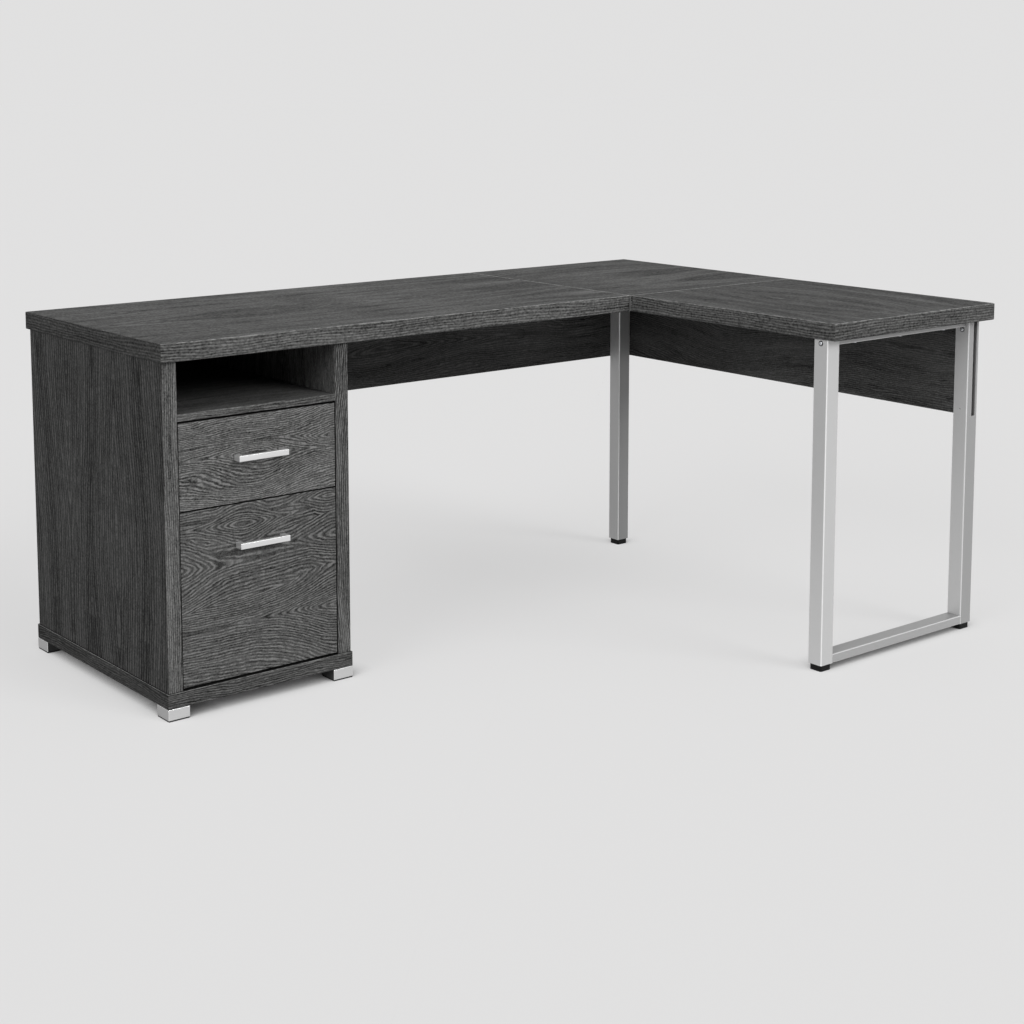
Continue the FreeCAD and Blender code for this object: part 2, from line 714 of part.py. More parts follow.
def drilled(members, slide_front, slide_back, slide_bottom):
    """Slide members with a hole for each of their screws."""
    drills = [rod("X", bay_left, screw_y, slide_bottom + s.slide_height / 2, s.slide_screw_radius, bay_width)
              for screw_y in (slide_front + s.slide_screw_margin, slide_back - s.slide_screw_margin)]
    return group(*[cut(member, *drills) for member in members])


def drawer_handle(drawer, handle_z):
    """A square-section bow handle and the two screws that come through the drawer front."""
    body = doc.addObject("PartDesign::Body", "Handle")
    leg_inside = s.handle_length - s.handle_leg
    bow = [(0, 0), (s.handle_length, 0), (s.handle_length, s.handle_reach), (leg_inside, s.handle_reach),
           (leg_inside, s.handle_bar), (s.handle_leg, s.handle_bar), (s.handle_leg, s.handle_reach),
           (0, s.handle_reach)]
    solid = pad(body, outline(body, bow), s.handle_height)
    round_edges(body, solid, s.handle_round, lambda edge: all(abs(v.Point.y) < 1e-6 for v in edge.Vertexes))
    place(body, middle_x - s.handle_length / 2, front_face - s.handle_reach, handle_z - s.handle_height / 2)
    finished(f"{drawer}_drawer_handle", body)
    spread = (s.handle_length - s.handle_leg) / 2
    screw_xs = (middle_x - spread, middle_x + spread)
    finished(f"{drawer}_handle_screws", group(*[
        screw("Y", -1, screw_x, box_front, handle_z, s.handle_screw_radius,
              s.front_thickness + s.handle_screw_bite, s.screw_head_radius, s.screw_head_height)
        for screw_x in screw_xs]))
    hole_radius = s.handle_screw_radius + s.screw_hole_gap
    return [rod("Y", screw_x, front_face, handle_z, hole_radius, s.front_thickness) for screw_x in screw_xs]


def drawer(name, front_bottom, front_height, wall_height, top_cutters):
    """A drawer: front, two sides, back and bottom, with its dowels, handle and slides."""
    wall_bottom = front_bottom + s.drawer_side_lift
    wall_top = wall_bottom + wall_height
    floor_z = wall_bottom + s.drawer_bottom_lift
    groove_z = floor_z - s.fit_gap
    groove_height = s.drawer_bottom_thickness + s.fit_gap * 2
    groove_left = box_left + s.drawer_wall - s.groove_depth
    groove_width = inside_width + s.groove_depth * 2
    groove = block(groove_left, box_front - s.groove_depth, groove_z,
                   groove_width, s.drawer_depth + s.groove_depth, groove_height)

    handle_holes = drawer_handle(name, front_bottom + front_height - s.handle_drop)
    front = block(front_left, front_face, front_bottom, front_width, s.front_thickness, front_height)
    finished(f"{name}_drawer_front", cut(front, groove, *handle_holes))
    for side_name, side_x in (("left", box_left), ("right", box_right - s.drawer_wall)):
        side = block(side_x, box_front, wall_bottom, s.drawer_wall, s.drawer_depth, wall_height)
        finished(f"{name}_drawer_{side_name}_side", cut(side, groove, *top_cutters))
    floor_top = floor_z + s.drawer_bottom_thickness
    back_y = box_back - s.drawer_wall
    finished(f"{name}_drawer_back", block(box_left + s.drawer_wall, back_y, floor_top,
                                          inside_width, s.drawer_wall, wall_top - floor_top))
    finished(f"{name}_drawer_bottom", block(groove_left + s.fit_gap, box_front - tongue, floor_z,
                                            groove_width - s.fit_gap * 2, s.drawer_depth + tongue,
                                            s.drawer_bottom_thickness))
    dowels = []
    back_dowel_reach = s.drawer_wall - s.drawer_dowel_bite
    for dowel_z in (wall_bottom + s.drawer_dowel_margin, wall_top - s.drawer_dowel_margin):
        for dowel_x in (box_left + s.drawer_wall / 2, box_right - s.drawer_wall / 2):
            dowels.append(rod("Y", dowel_x, box_front - s.drawer_dowel_bite, dowel_z,
                              s.drawer_dowel_radius, s.drawer_dowel_length))
        for dowel_x in (box_left + back_dowel_reach, box_right - back_dowel_reach - s.drawer_dowel_length):
            dowels.append(rod("X", dowel_x, box_back - s.drawer_wall / 2, dowel_z,
                              s.drawer_dowel_radius, s.drawer_dowel_length))
    finished(f"{name}_drawer_dowels", group(*dowels))
    slides(name, wall_bottom + s.slide_lift)


box_front_bottom = shelf_under - s.front_top_gap - s.box_front_height
file_front_bottom = base_top + s.front_bottom_gap
file_front_height = box_front_bottom - s.front_middle_gap - file_front_bottom
drawer("box", box_front_bottom, s.box_front_height, s.box_side_height, [])

# Rails for hanging folders stand in grooves along the tops of the file drawer's sides
file_wall_top = file_front_bottom + s.drawer_side_lift + s.file_side_height
rail_z = file_wall_top - s.file_rail_seat
file_rails = []
rail_grooves = []
rail_spread = inside_width / 2 + s.file_rail_setback
for rail_x in (middle_x - rail_spread, middle_x + rail_spread):
    rail_start = rail_x - s.file_rail_thickness / 2
    file_rails.append(block(rail_start, box_front, rail_z,
                            s.file_rail_thickness, s.drawer_depth, s.file_rail_height))
    rail_grooves.append(block(rail_start, box_front, rail_z,
                              s.file_rail_thickness, s.drawer_depth, s.file_rail_height))
finished("file_hanging_rails", group(*file_rails))
drawer("file", file_front_bottom, file_front_height, s.file_side_height, rail_grooves)
finished("cabinet_slide_screws", group(*cabinet_slide_screws))

# Every object is checked before anything is written
doc.recompute()
for item in doc.Objects:
    if "Invalid" in item.State or "Error" in item.State:
        raise RuntimeError(f"{item.Label} didn't build: {item.State}")
for item in sub_parts:
    if item.Shape.isNull() or not item.Shape.isValid():
        raise RuntimeError(f"{item.Label} has no valid shape")
os.makedirs("parts", exist_ok=True)
for item in sub_parts:
    item.Shape.exportStep(f"parts/{item.Label}.step")
print(len(sub_parts), "sub-parts,", sum(len(item.Shape.Solids) for item in sub_parts), "solids")
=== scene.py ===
import bmesh
import bpy
import math
from mathutils import Matrix, Vector


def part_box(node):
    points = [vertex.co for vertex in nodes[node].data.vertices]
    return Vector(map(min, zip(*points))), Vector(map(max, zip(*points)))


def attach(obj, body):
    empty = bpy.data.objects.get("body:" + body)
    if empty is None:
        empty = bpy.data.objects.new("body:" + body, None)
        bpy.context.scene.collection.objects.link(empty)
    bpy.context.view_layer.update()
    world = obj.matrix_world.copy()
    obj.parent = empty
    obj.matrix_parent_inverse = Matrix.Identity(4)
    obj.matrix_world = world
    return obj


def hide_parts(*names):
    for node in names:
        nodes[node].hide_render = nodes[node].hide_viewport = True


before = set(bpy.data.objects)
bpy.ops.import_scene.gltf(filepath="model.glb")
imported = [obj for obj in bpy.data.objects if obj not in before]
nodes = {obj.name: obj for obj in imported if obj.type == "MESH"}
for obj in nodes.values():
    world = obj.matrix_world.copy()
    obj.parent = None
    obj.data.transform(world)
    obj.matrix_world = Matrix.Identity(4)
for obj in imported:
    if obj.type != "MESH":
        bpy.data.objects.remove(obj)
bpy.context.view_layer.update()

# The camera stands before the desk's open side, left of the middle and above the tops.
# A long lens with the frame moved down keeps the uprights nearly parallel.
lens = bpy.data.cameras.new("desk_camera")
lens.sensor_width = 36
lens.lens = 63.9
lens.shift_y = -0.215
camera = bpy.data.objects.new("desk_camera", lens)
camera.location = (-2.547, -3.126, 1.289)
camera.rotation_euler = (math.radians(83.04), 0, math.radians(-38.96))
bpy.context.scene.collection.objects.link(camera)
bpy.context.scene.camera = camera

# The tops are three thick boards of particle board, faced and edged with charcoal woodgrain laminate.
# They butt together at the corner, where the edging shows as a pale line along both seams.
# Their upper edges are eased, and along them the print is painted pale as a highlight, with some wear. Below,
# they have plain dark paper.
def add_node(tree, kind, sockets, **settings):
    """Adds a shader node; each socket takes a number, a colour or another node's output."""
    node = tree.nodes.new("ShaderNode" + kind)
    for setting, value in settings.items():
        setattr(node, setting, value)
    for socket, value in sockets.items():
        if isinstance(value, bpy.types.NodeSocket):
            tree.links.new(value, node.inputs[socket])
        else:
            node.inputs[socket].default_value = value
    return node


def maths(tree, operation, first, second=0.0, third=0.0):
    return add_node(tree, "Math", {0: first, 1: second, 2: third}, operation=operation).outputs[0]


def between(tree, share, first, second):
    """The first value where the share is 0, the second where it is 1."""
    return add_node(tree, "Mix", {"Factor": share, "A": first, "B": second}).outputs[0]


def stepped(tree, value, start, end, low=0.0, high=1.0):
    """A smooth step from low to high as the value goes from start to end."""
    sockets = {"Value": value, "From Min": start, "From Max": end, "To Min": low, "To Max": high}
    return add_node(tree, "MapRange", sockets, interpolation_type="SMOOTHSTEP").outputs[0]


def drawn_out(tree, along, across, seed, along_rate, across_rate, detail=2.0):
    """Noise about 0 drawn out along the grain, with so many features to a metre each way."""
    point = add_node(tree, "CombineXYZ", {0: maths(tree, "MULTIPLY", along, along_rate),
                                          1: maths(tree, "MULTIPLY", across, across_rate), 2: seed})
    noise = add_node(tree, "TexNoise", {"Vector": point.outputs[0], "Scale": 1.0, "Detail": detail})
    return maths(tree, "SUBTRACT", noise.outputs[0], 0.5)


def new_finish(name):
    """A new material, with its node tree and its surface node."""
    finish = bpy.data.materials.new(name)
    finish.use_nodes = True
    return finish, finish.node_tree, finish.node_tree.nodes["Principled BSDF"]


def finish_surface(tree, surface, colour, shade, roughness, height, strength, distance):
    """Links the shaded colour, the roughness and a fine relief to the surface."""
    tint = add_node(tree, "VectorMath", {0: colour, "Scale": shade}, operation="SCALE").outputs[0]
    relief = add_node(tree, "Bump", {"Strength": strength, "Distance": distance, "Height": height}).outputs[0]
    for socket, output in (("Base Color", tint), ("Roughness", roughness), ("Normal", relief)):
        tree.links.new(output, surface.inputs[socket])


def grain_rings(tree, along, across, seed, sway, eyes):
    """Swayed places across the grain: as straight lines, and as lines that run round the eyes."""
    swell = drawn_out(tree, along, across, seed, 2.2, 7.0, 1.0)
    wander = drawn_out(tree, along, across, seed + 7.3, 18.0, 45.0)
    jitter = drawn_out(tree, along, across, seed + 9.1, 75.0, 160.0)
    straight = across
    for shift, reach in ((swell, 0.06), (wander, 0.009), (jitter, 0.0035)):
        straight = maths(tree, "MULTIPLY_ADD", maths(tree, "MULTIPLY", shift, sway), reach, straight)
    eye_core = 0.004
    heights = []
    for eye_along, eye_across, half_length, half_height in eyes:
        run = maths(tree, "DIVIDE", maths(tree, "SUBTRACT", along, eye_along), half_length)
        fade = maths(tree, "EXPONENT", maths(tree, "MULTIPLY", maths(tree, "MULTIPLY", run, run), -1.0))
        offset = maths(tree, "SUBTRACT", straight, eye_across)
        rise = maths(tree, "SQRT", maths(tree, "MULTIPLY_ADD", offset, offset, eye_core ** 2))
        heights.append(maths(tree, "MULTIPLY_ADD", fade, -half_height, rise))
    round_eyes = heights[0] if heights else straight
    for height in heights[1:]:
        round_eyes = maths(tree, "MINIMUM", round_eyes, height)
    return straight, round_eyes


def grain_strokes(tree, along, ring, seed, rate):
    """Light and dark strokes along the rings, so many to a metre, and where the light ones break off."""
    drift = drawn_out(tree, along, ring, seed + 13.1, 9.0, 60.0)
    drift_reach = 8.0
    dark_depth = 0.55
    turns = maths(tree, "MULTIPLY", maths(tree, "MULTIPLY", ring, rate), math.tau)
    wave = maths(tree, "SINE", maths(tree, "MULTIPLY_ADD", drift, drift_reach, turns))
    breaks = stepped(tree, drawn_out(tree, along, ring, seed + 19.4, 80.0, 170.0), -0.1, 0.1, 0.15)
    gaps = stepped(tree, drawn_out(tree, along, ring, seed + 23.6, 30.0, 140.0), -0.15, 0.12, 0.3)
    light_strokes = maths(tree, "MULTIPLY", stepped(tree, wave, -0.2, 0.9), breaks)
    dark_strokes = maths(tree, "MULTIPLY", stepped(tree, wave, 0.2, -0.9), gaps)
    strokes = maths(tree, "SUBTRACT", light_strokes, maths(tree, "MULTIPLY", dark_strokes, dark_depth))
    return strokes, breaks


def grain_mottle(tree, along, ring, seed):
    """Broad bands and clouds of lighter and darker print, with dark dashes."""
    clouds = drawn_out(tree, along, ring, seed + 41.9, 2.5, 20.0)
    bands = drawn_out(tree, along, ring, seed + 29.7, 5.0, 70.0)
    dashes = stepped(tree, drawn_out(tree, along, ring, seed + 53.8, 14.0, 120.0), 0.1, 0.2)
    mottle = 0.0
    for part, weight in ((clouds, 1.1), (bands, 0.9), (dashes, -0.3)):
        mottle = maths(tree, "MULTIPLY_ADD", part, weight, mottle)
    return mottle


GRAIN_ON_FACES = {"X": {"X": "yz", "Y": "xz", "Z": "xy"},
                  "Y": {"X": "yz", "Y": "xz", "Z": "yx"},
                  "Z": {"X": "zy", "Y": "zx", "Z": "yx"}}
LEAST_FACING = 0.72


def woodgrain(name, grain, seed, grey=0.092, bold=1.0, period=0.0048, streaks=1.0, speckle=1.3, sway=1.0,
              pores=(240.0, 330.0), eyes=(), edge_look=(), seams=(), highlit_worn_edges="", paper_below=False,
              painted_face_light={}, gap_shade_side=0):
    """Charcoal woodgrain laminate on a board whose grain runs along one axis.

    Light strokes lie a period apart and sway. They run round each of the eyes, given by its place along and
    across the grain and its two half sizes. Edge look is the boldness, streaks, sway and strokes to a metre
    on the narrow edges of a level board or of the cabinet's side, where there are no eyes. Seams are pale
    edging, given by axis, place and the least upward tilt of the faces that show it; on upright faces the
    edging has painted shade. The named edge axes pick the upper edges, facing those axes, that carry a
    painted highlight with some wear. The factors for the faces along an axis paint light or shade on them.
    The face towards the drawers, below the shelf, gets a dark painted shade for the gap beside the fronts;
    the side argument says which side it faces.
    """
    finish, tree, surface = new_finish(name)
    spot = add_node(tree, "TexCoord", {})
    place = dict(zip("xyz", add_node(tree, "SeparateXYZ", {0: spot.outputs["Object"]}).outputs))
    normal = dict(zip("xyz", add_node(tree, "SeparateXYZ", {0: spot.outputs["Normal"]}).outputs))
    facing = {axis: maths(tree, "ABSOLUTE", part) for axis, part in normal.items()}
    square_on = {axis: maths(tree, "GREATER_THAN", part, LEAST_FACING) for axis, part in facing.items()}
    pattern = GRAIN_ON_FACES[grain]
    on_sides = [between(tree, square_on["x"], place[pattern["Y"][part]], place[pattern["X"][part]])
                for part in (0, 1)]
    along, across = [between(tree, square_on["z"], on_sides[part], place[pattern["Z"][part]])
                     for part in (0, 1)]

    rate = 1 / period
    on_broad_face = square_on["x"] if grain == "Z" else square_on["z"]
    if edge_look:
        bold, streaks, sway, rate = [between(tree, on_broad_face, on_edge, on_face)
                                     for on_edge, on_face in zip(edge_look, (bold, streaks, sway, rate))]
    straight, ring = grain_rings(tree, along, across, seed, sway, eyes)
    if edge_look:
        ring = between(tree, on_broad_face, straight, ring)
    strokes, breaks = grain_strokes(tree, along, ring, seed, rate)
    mottle = grain_mottle(tree, along, ring, seed)
    specks = drawn_out(tree, along, across, seed + 47.2, *pores)
    middle_shade = 0.92
    least_shade = 0.15
    shade = middle_shade
    for part, weight in ((strokes, bold), (mottle, streaks), (specks, speckle)):
        shade = maths(tree, "MULTIPLY_ADD", part, weight, shade)
    shade = maths(tree, "MAXIMUM", shade, least_shade)

    # Painted light and shade: the faces along each listed axis are made lighter or darker by a factor.
    for axis, painted_face_factor in painted_face_light.items():
        shade = between(tree, square_on[axis], shade, maths(tree, "MULTIPLY", shade, painted_face_factor))
    edge_tilt = 0.25
    level_tilt = 0.96
    upper_edge = maths(tree, "MULTIPLY", maths(tree, "GREATER_THAN", normal["z"], edge_tilt),
                       maths(tree, "LESS_THAN", normal["z"], level_tilt))
    # Painted highlight, with some wear, along the upper edges that face the listed axes.
    for axis in highlit_worn_edges:
        outward = maths(tree, "GREATER_THAN", facing[axis], edge_tilt)
        highlight_and_wear_shade = maths(tree, "MULTIPLY_ADD", breaks, 2.0, 1.1)
        shade = between(tree, maths(tree, "MULTIPLY", upper_edge, outward), shade, highlight_and_wear_shade)
    seam_half_width = 0.0026
    for axis, seam_place, least_tilt in seams:
        far = maths(tree, "ABSOLUTE", maths(tree, "SUBTRACT", place[axis], seam_place))
        line = maths(tree, "MULTIPLY", maths(tree, "LESS_THAN", far, seam_half_width),
                     maths(tree, "GREATER_THAN", normal["z"], least_tilt))
        edging_shade = maths(tree, "MULTIPLY_ADD", breaks, 1.2, 1.9)
        # Painted shade: on upright faces the pale edging is dimmed to about half.
        edging_shade = maths(tree, "MULTIPLY", edging_shade, stepped(tree, normal["z"], 0.2, 0.6, 0.55))
        shade = between(tree, line, shade, edging_shade)
    if paper_below:
        paper_shade = 0.5
        shade = between(tree, maths(tree, "LESS_THAN", normal["z"], -LEAST_FACING), shade, paper_shade)
    # Painted shade: the inner face towards the drawers, below the shelf and before the back, is made dark for
    # the gap beside the fronts.
    if gap_shade_side:
        painted_gap_shade = 0.12
        inward = maths(tree, "MULTIPLY", normal["x"], gap_shade_side)
        inner_face = maths(tree, "GREATER_THAN", inward, LEAST_FACING)
        below_shelf = maths(tree, "LESS_THAN", place["z"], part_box("cabinet_shelf")[0].z)
        before_back = maths(tree, "LESS_THAN", place["y"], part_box("cabinet_back_panel")[0].y)
        painted_gap_mask = maths(tree, "MULTIPLY", inner_face, maths(tree, "MULTIPLY", below_shelf, before_back))
        shade = between(tree, painted_gap_mask, shade, painted_gap_shade)
    blue_share = 0.985
    flat_roughness = 0.72
    stroke_roughness = 0.08
    roughness = maths(tree, "MULTIPLY_ADD", strokes, stroke_roughness, flat_roughness)
    finish_surface(tree, surface, (grey, grey, grey * blue_share), shade, roughness, height=strokes,
                   strength=0.25, distance=0.0003)
    surface.inputs["Specular IOR Level"].default_value = 0.06
    return finish


def dress(name, finish, edge=0.0, segments=2):
    """Gives a node its finish, and softens its edges by so many metres."""
    piece = nodes[name]
    piece.data.materials.clear()
    piece.data.materials.append(finish)
    if edge:
        piece.modifiers.new("joined", "WELD").merge_threshold = 0.00002
        planes = piece.modifiers.new("planes", "DECIMATE")
        planes.decimate_type = "DISSOLVE"
        planes.angle_limit = math.radians(1)
        softening = piece.modifiers.new("softened", "BEVEL")
        softening.width = edge
        softening.segments = segments
        softening.limit_method = "ANGLE"
        softening.angle_limit = math.radians(40)
        piece.modifiers.new("shading", "WEIGHTED_NORMAL").keep_sharp = False


top_edge = 0.0022
half_gap = 0.0002
main_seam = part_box("main_top")[1].x + half_gap
return_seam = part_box("return_top")[1].y + half_gap
main_eyes = [(-0.52, 0.30, 0.34, 0.060), (0.10, 0.40, 0.28, 0.050), (-0.85, 0.47, 0.25, 0.050),
             (0.36, 0.12, 0.22, 0.045)]
corner_eyes = [(0.60, 0.33, 0.30, 0.055), (0.92, 0.14, 0.24, 0.050)]
return_eyes = [(-0.28, 0.58, 0.32, 0.060), (-0.66, 0.42, 0.24, 0.050)]
top_look = {"grey": 0.075, "bold": 0.8, "period": 0.0062, "streaks": 1.6, "speckle": 2.0,
            "pores": (170.0, 200.0), "edge_look": (0.75, 0.6, 0.45, 165.0), "paper_below": True}
# The tops carry painted light and shade by face: the main top's left end darker, its front and back edges and
# upper face lighter, the corner and return tops' upper faces darker.
dress("main_top", woodgrain("main_top_laminate", "X", 3.0, eyes=main_eyes, seams=[("x", main_seam, 0.3)],
                            highlit_worn_edges="y", painted_face_light={"x": 0.52, "y": 1.12, "z": 1.05}, **top_look), top_edge)
dress("corner_top", woodgrain("corner_top_laminate", "X", 11.0, eyes=corner_eyes,
                              seams=[("x", main_seam, -0.5), ("y", return_seam, 0.3)],
                              painted_face_light={"z": 0.93}, **top_look), top_edge)
dress("return_top", woodgrain("return_top_laminate", "Y", 5.0, eyes=return_eyes,
                              seams=[("y", return_seam, 0.3)], highlit_worn_edges="xy", painted_face_light={"z": 0.89},
                              **top_look), top_edge)

# The drawer cabinet's carcass is thick board in the same laminate, upright grain on the two sides.
# The base board stands a little proud all round, the shelf closes the open cubby, the back is thin board.
# Dowels and cam locks hold it, and pressed-in caps with the same print hide the cams in the cubby.
board_edge = 0.0015
side_eyes = [(0.30, 0.22, 0.35, 0.040), (0.70, 0.44, 0.30, 0.040)]
# Each side's inner face beside the drawers carries a dark painted shade.
right_side_finish = woodgrain("right_side_laminate", "Z", 23.0, grey=0.083, sway=0.5, eyes=side_eyes,
                              gap_shade_side=-1)
# The left side's broad faces are painted darker as shade.
left_side_finish = woodgrain("left_side_laminate", "Z", 17.0, bold=0.85, period=0.0095, streaks=1.2,
                             speckle=1.8, sway=0.35, eyes=side_eyes, edge_look=(0.8, 1.0, 0.5, 208.0),
                             gap_shade_side=1, painted_face_light={"x": 0.46})
dress("cabinet_left_side", left_side_finish, board_edge)
dress("cabinet_right_side", right_side_finish, board_edge)
# The base's ends are painted darker and its upper faces nearly black as shade; the shelf's upper and lower
# faces are painted darker as shade.
dress("cabinet_base", woodgrain("base_laminate", "X", 31.0, grey=0.06, highlit_worn_edges="xy",
                                painted_face_light={"x": 0.62, "z": 0.12}), board_edge)
dress("cabinet_shelf", woodgrain("shelf_laminate", "X", 37.0, bold=0.7, painted_face_light={"z": 0.65}),
      edge=0.0008)
dress("cabinet_back_panel", woodgrain("back_laminate", "Z", 43.0, bold=0.6))


def new_piece(name, shape, finishes):
    """A new piece with its finishes, its place in its mesh."""
    mesh = bpy.data.meshes.new(name)
    shape.to_mesh(mesh)
    for finish in finishes:
        mesh.materials.append(finish)
    piece = bpy.data.objects.new(name, mesh)
    bpy.context.scene.collection.objects.link(piece)
    return piece


cap_radius = 0.0085
cap_thickness = 0.0007
cap_bevel = 0.0004
cap_height = 0.690
cap_depths = (0.125, 0.505)
cap_turn = Matrix.Rotation(math.radians(90), 4, "Y")
for side, inward, cap_finish in (("left", 1, left_side_finish), ("right", -1, right_side_finish)):
    inner_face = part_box("cabinet_left_side")[1].x if inward > 0 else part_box("cabinet_right_side")[0].x
    caps = bmesh.new()
    for cap_depth in cap_depths:
        cap_middle = (inner_face + inward * cap_thickness / 2, cap_depth, cap_height)
        bmesh.ops.create_cone(caps, cap_ends=True, segments=40, radius1=cap_radius, radius2=cap_radius,
                              depth=cap_thickness, matrix=Matrix.Translation(cap_middle) @ cap_turn)
    rims = [edge for edge in caps.edges if abs(edge.verts[0].co.x - inner_face) > cap_thickness / 2
            and abs(edge.verts[1].co.x - inner_face) > cap_thickness / 2]
    bmesh.ops.bevel(caps, geom=rims, offset=cap_bevel, affect="EDGES", segments=2, profile=0.5, material=-1)
    cap_piece = new_piece(f"cam_caps_{side}", caps, [cap_finish])
    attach(cap_piece, "desk")

# Two inset drawer fronts with grain across them: a box drawer above, a file drawer below.
# Each is board faced on both sides, and its edges in the narrow gap round it are painted nearly black as
# shade. The lower one is cut from the middle of the figure, with a closed loop above its handle.
box_eyes = [(-0.675, 0.506, 0.10, 0.022), (-0.47, 0.535, 0.09, 0.030)]
file_eyes = [(-0.709, 0.376, 0.075, 0.036), (-0.50, 0.396, 0.06, 0.028), (-0.87, 0.305, 0.08, 0.040),
             (-0.47, 0.320, 0.09, 0.030), (-0.46, 0.170, 0.13, 0.060)]
front_edge = 0.0006
# Painted shade: the fronts' side, upper and lower edges are nearly black.
front_look = {"bold": 0.95, "streaks": 0.5, "speckle": 1.6, "painted_face_light": {"x": 0.12, "z": 0.12}}
dress("box_drawer_front", woodgrain("box_front_laminate", "X", 53.0, grey=0.104, period=0.0041,
                                    eyes=box_eyes, **front_look), front_edge)
dress("file_drawer_front", woodgrain("file_front_laminate", "X", 59.0, grey=0.088, period=0.0059,
                                     eyes=file_eyes, **front_look), front_edge)

# The modesty panels are thin boards in the same laminate, hung behind the knee space by steel angles.
# The main one meets the return one, whose free end slides into a slot in the outer post.
main_panel_eyes = [(0.05, 0.590, 0.24, 0.035), (0.62, 0.660, 0.22, 0.030)]
return_panel_eyes = [(0.15, 0.640, 0.24, 0.035)]
panel_edge = 0.0008
main_panel_finish = woodgrain("main_panel_laminate", "X", 61.0, grey=0.07, bold=0.6, eyes=main_panel_eyes)
return_panel_finish = woodgrain("return_panel_laminate", "Y", 67.0, grey=0.075, bold=0.6,
                                eyes=return_panel_eyes)
dress("main_modesty_panel", main_panel_finish, panel_edge)
dress("return_modesty_panel", return_panel_finish, panel_edge)

# The return stands on a loop of square steel tube in satin silver paint, with a painted highlight along its
# rounded edges. The bottom rail is welded between the two posts, and screws and a bolt hold the thin top
# rail. The corner leg is the same tube.
def mottled(tree, mottle, middle, spread):
    """A value about the middle that goes up and down with the mottle."""
    return maths(tree, "MULTIPLY_ADD", mottle, spread, middle - spread / 2)


def metal(name, colour, metallic, roughness, brushed=None, painted_edge_highlight=0.0, painted_face_light={}):
    """Painted or plated steel with fine mottling, drawn out along an axis where it is brushed.

    The factors for the flat faces along an axis paint light or shade on them; the edge factor paints a
    highlight on the rounded edges between the faces.
    """
    finish, tree, surface = new_finish(name)
    spot = add_node(tree, "TexCoord", {})
    fine_rate = 900.0
    brushed_rate = 12.0
    rates = [brushed_rate if axis == brushed else fine_rate for axis in "XYZ"]
    stretched = add_node(tree, "VectorMath", {0: spot.outputs["Object"], 1: rates}, operation="MULTIPLY")
    noise = add_node(tree, "TexNoise", {"Vector": stretched.outputs[0], "Scale": 1.0, "Detail": 2.0})
    mottle = noise.outputs[0]
    shade = mottled(tree, mottle, middle=1.0, spread=0.16)
    flat_tilt = 0.97
    normal = dict(zip("xyz", add_node(tree, "SeparateXYZ", {0: spot.outputs["Normal"]}).outputs))
    flat = {axis: maths(tree, "GREATER_THAN", maths(tree, "ABSOLUTE", part), flat_tilt)
            for axis, part in normal.items()}
    # Painted light and shade on the flat faces.
    for axis, painted_face_factor in painted_face_light.items():
        shade = maths(tree, "MULTIPLY", shade, between(tree, flat[axis], 1.0, painted_face_factor))
    # Painted highlight on the rounded edges.
    if painted_edge_highlight:
        on_a_face = maths(tree, "ADD", flat["x"], maths(tree, "ADD", flat["y"], flat["z"]))
        shade = maths(tree, "MULTIPLY", shade, between(tree, on_a_face, painted_edge_highlight, 1.0))
    finish_surface(tree, surface, colour, shade, mottled(tree, mottle, middle=roughness, spread=0.12),
                   height=mottle, strength=0.06, distance=0.0002)
    surface.inputs["Metallic"].default_value = metallic
    return finish


# Each tube has its own copy of the paint with painted light and shade: left faces lighter, the outer post's,
# rails' and corner leg's front and back faces darker, and the rails' upper and lower faces darker.
silver_look = {"colour": (0.53, 0.53, 0.53), "metallic": 0.35, "roughness": 0.4}
dress("inner_post", metal("inner_post_paint", painted_edge_highlight=1.5, painted_face_light={"x": 1.1}, **silver_look))
dress("outer_post", metal("outer_post_paint", painted_edge_highlight=1.25, painted_face_light={"x": 1.1, "y": 0.62},
                          **silver_look))
dress("corner_leg", metal("corner_leg_paint", painted_edge_highlight=1.5, painted_face_light={"x": 1.1, "y": 0.45},
                          **silver_look))
rail_paint = metal("rail_paint", painted_edge_highlight=0.98, painted_face_light={"x": 1.1, "y": 0.69, "z": 0.64},
                   **silver_look)
for rail in ("loop_bottom_rail", "loop_top_rail"):
    dress(rail, rail_paint)

# Zinc-plated fittings hold the desk together: seam plates, the corner leg's plate, screws and cams.
# The angles that hang the modesty panels are blackened, so that they don't show in the knee space.
zinc = metal("zinc_plate", (0.52, 0.53, 0.55), 1.0, 0.35)
for fitting in ("corner_leg_plate", "seam_joining_plates", "underside_screws", "top_rail_screws", "cam_locks",
                "cam_bolts", "foot_screws", "cabinet_slide_screws"):
    dress(fitting, zinc)
dress("modesty_brackets", metal("black_zinc", (0.03, 0.03, 0.03), 0.9, 0.5))

# Push-in glides of black plastic close the lower ends of the tubes.
# A plug grips the inside of the tube, and a square pad with a wide chamfer stands on the floor.
def moulded(name, colour, roughness):
    """Moulded plastic or rubber with a fine even grain."""
    finish, tree, surface = new_finish(name)
    spot = add_node(tree, "TexCoord", {})
    noise = add_node(tree, "TexNoise", {"Vector": spot.outputs["Object"], "Scale": 1400.0, "Detail": 2.0})
    grain = noise.outputs[0]
    shade = mottled(tree, grain, middle=1.0, spread=0.4)
    finish_surface(tree, surface, colour, shade, mottled(tree, grain, middle=roughness, spread=0.16),
                   height=grain, strength=0.15, distance=0.0002)
    surface.inputs["Specular IOR Level"].default_value = 0.12
    return finish


black_plastic = moulded("black_plastic", (0.006, 0.006, 0.006), 0.5)
dress("leg_glides", black_plastic, edge=0.0035, segments=1)
dress("top_rail_insert", black_plastic)
